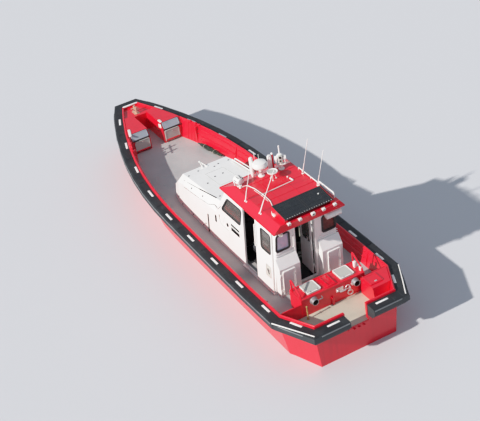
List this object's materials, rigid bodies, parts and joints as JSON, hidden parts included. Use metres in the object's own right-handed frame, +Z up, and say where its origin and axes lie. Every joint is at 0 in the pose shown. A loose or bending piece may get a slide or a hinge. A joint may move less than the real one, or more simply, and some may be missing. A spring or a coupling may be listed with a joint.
{
  "type": "inshore rescue boat",
  "caption": "Inshore rescue boat with an all-round fender, enclosed wheelhouse, sliding side doors, deck lockers, engine hatches, roof gear and steerable water jets.",
  "frame": {"origin": "on the centreline at the waterline, below the stern rail", "axes": "+X forward to the bow, +Y to port, +Z up"},
  "size_m": [12.0387, 3.29, 4.403],
  "materials": {
    "red_paint": "gloss",
    "white_paint": "satin",
    "deck_paint": "matt, non-slip",
    "stern_deck_paint": "matt, non-slip",
    "fender_rubber": "matt",
    "grey_panel": "satin",
    "window_glass": "smooth",
    "steel": "brushed",
    "cast_alloy": "cast",
    "dark_plastic": "matt",
    "white_plastic": "gloss",
    "bitt_brass": "weathered",
    "net_fabric": "rough"
  },
  "bodies": {
    "hull": {"hull": "red_paint", "stern_step": "red_paint", "bow_locker_port": "red_paint", "bow_locker_starboard": "red_paint", "engine_casing": "red_paint", "stern_locker": "red_paint", "roof": "red_paint", "cabin": "white_paint", "aft_locker_port": "white_paint", "aft_locker_starboard": "white_paint", "panel_rails": "white_paint", "main_deck": "deck_paint", "stern_deck": "stern_deck_paint", "fender": "fender_rubber", "side_window_port": "window_glass", "side_window_starboard": "window_glass", "aft_side_window_port": "window_glass", "aft_side_window_starboard": "window_glass", "aft_window_port": "window_glass", "aft_window_starboard": "window_glass", "windscreen": "window_glass", "tow_hook": "steel", "jet_housing_port": "cast_alloy", "jet_housing_starboard": "cast_alloy", "engines": "dark_plastic", "roof_panel": "dark_plastic", "helm_console": "dark_plastic", "helm_seats": "dark_plastic", "aerial_fore_port": "white_plastic", "aerial_aft_port": "white_plastic", "aerial_fore_starboard": "white_plastic", "aerial_aft_starboard": "white_plastic", "radar": "white_plastic", "night_camera": "white_plastic", "searchlight": "white_plastic", "lamp_bar": "white_plastic", "raft_canister": "white_plastic", "bow_bitt": "bitt_brass", "net_roll": "net_fabric"},
    "side_door_port": {"side_door_port": "white_paint", "side_door_glass_port": "window_glass"},
    "side_door_starboard": {"side_door_starboard": "white_paint", "side_door_glass_starboard": "window_glass"},
    "aft_door": {"aft_door": "white_paint", "aft_door_glass": "window_glass"},
    "aft_locker_door_port": {"aft_locker_door_port": "white_paint"},
    "aft_locker_door_starboard": {"aft_locker_door_starboard": "white_paint"},
    "engine_hatch_port": {"engine_hatch_port": "grey_panel"},
    "engine_hatch_starboard": {"engine_hatch_starboard": "grey_panel"},
    "bow_locker_door_port": {"bow_locker_door_port": "grey_panel"},
    "bow_locker_door_starboard": {"bow_locker_door_starboard": "grey_panel"},
    "stern_locker_lid": {"stern_locker_lid": "red_paint"},
    "jet_nozzle_port": {"jet_nozzle_port": "cast_alloy"},
    "jet_nozzle_starboard": {"jet_nozzle_starboard": "cast_alloy"},
    "jet_bucket_port": {"jet_bucket_port": "steel"},
    "jet_bucket_starboard": {"jet_bucket_starboard": "steel"}
  },
  "joints": [
    {"name": "side_door_port_slide", "type": "slide", "parent": "hull", "child": "side_door_port", "axis": [1, 0, 0], "range_m": [0, 0.65]},
    {"name": "side_door_starboard_slide", "type": "slide", "parent": "hull", "child": "side_door_starboard", "axis": [-1, 0, 0], "range_m": [0, 0.65]},
    {"name": "aft_door_hinge", "type": "hinge", "parent": "hull", "child": "aft_door", "pos_m": [1.954, -0.199, 0.72], "axis": [-0.0965, 0, 0.9953], "range_deg": [0, 90]},
    {"name": "aft_locker_door_port_hinge", "type": "hinge", "parent": "hull", "child": "aft_locker_door_port", "pos_m": [1.6527, 0.75, 1.4241], "axis": [0.0965, 0, -0.9953], "range_deg": [0, 90]},
    {"name": "aft_locker_door_starboard_hinge", "type": "hinge", "parent": "hull", "child": "aft_locker_door_starboard", "pos_m": [1.7157, -0.75, 0.7741], "axis": [-0.0965, 0, 0.9953], "range_deg": [0, 90]},
    {"name": "engine_hatch_port_hinge", "type": "hinge", "parent": "hull", "child": "engine_hatch_port", "pos_m": [1.291, 0.42, 1.189], "axis": [0, 1, 0], "range_deg": [0, 80]},
    {"name": "engine_hatch_starboard_hinge", "type": "hinge", "parent": "hull", "child": "engine_hatch_starboard", "pos_m": [1.291, -0.42, 1.189], "axis": [0, 1, 0], "range_deg": [0, 80]},
    {"name": "stern_locker_lid_hinge", "type": "hinge", "parent": "hull", "child": "stern_locker_lid", "pos_m": [0.75, -0.825, 1.129], "axis": [0, 1, 0], "range_deg": [0, 80]},
    {"name": "bow_locker_door_port_hinge", "type": "hinge", "parent": "hull", "child": "bow_locker_door_port", "pos_m": [9.441, 0.645, 1.08], "axis": [0, 0, -1], "range_deg": [0, 95]},
    {"name": "bow_locker_door_starboard_hinge", "type": "hinge", "parent": "hull", "child": "bow_locker_door_starboard", "pos_m": [9.441, -0.645, 0.745], "axis": [0, 0, 1], "range_deg": [0, 95]},
    {"name": "jet_steering_port", "type": "hinge", "parent": "hull", "child": "jet_nozzle_port", "pos_m": [-0.4003, 0.37, -0.212], "axis": [0, 0, 1], "range_deg": [-27, 27]},
    {"name": "jet_bucket_port_hinge", "type": "hinge", "parent": "jet_nozzle_port", "child": "jet_bucket_port", "pos_m": [-0.4703, 0.37, -0.212], "axis": [0, -1, 0], "range_deg": [0, 65]},
    {"name": "jet_steering_starboard", "type": "hinge", "parent": "hull", "child": "jet_nozzle_starboard", "pos_m": [-0.4003, -0.37, -0.212], "axis": [0, 0, 1], "range_deg": [-27, 27]},
    {"name": "jet_bucket_starboard_hinge", "type": "hinge", "parent": "jet_nozzle_starboard", "child": "jet_bucket_starboard", "pos_m": [-0.4703, -0.37, -0.212], "axis": [0, -1, 0], "range_deg": [0, 65]}
  ],
  "couplings": [
    {"joint": "jet_steering_starboard", "follows": "jet_steering_port", "ratio": 1}
  ]
}
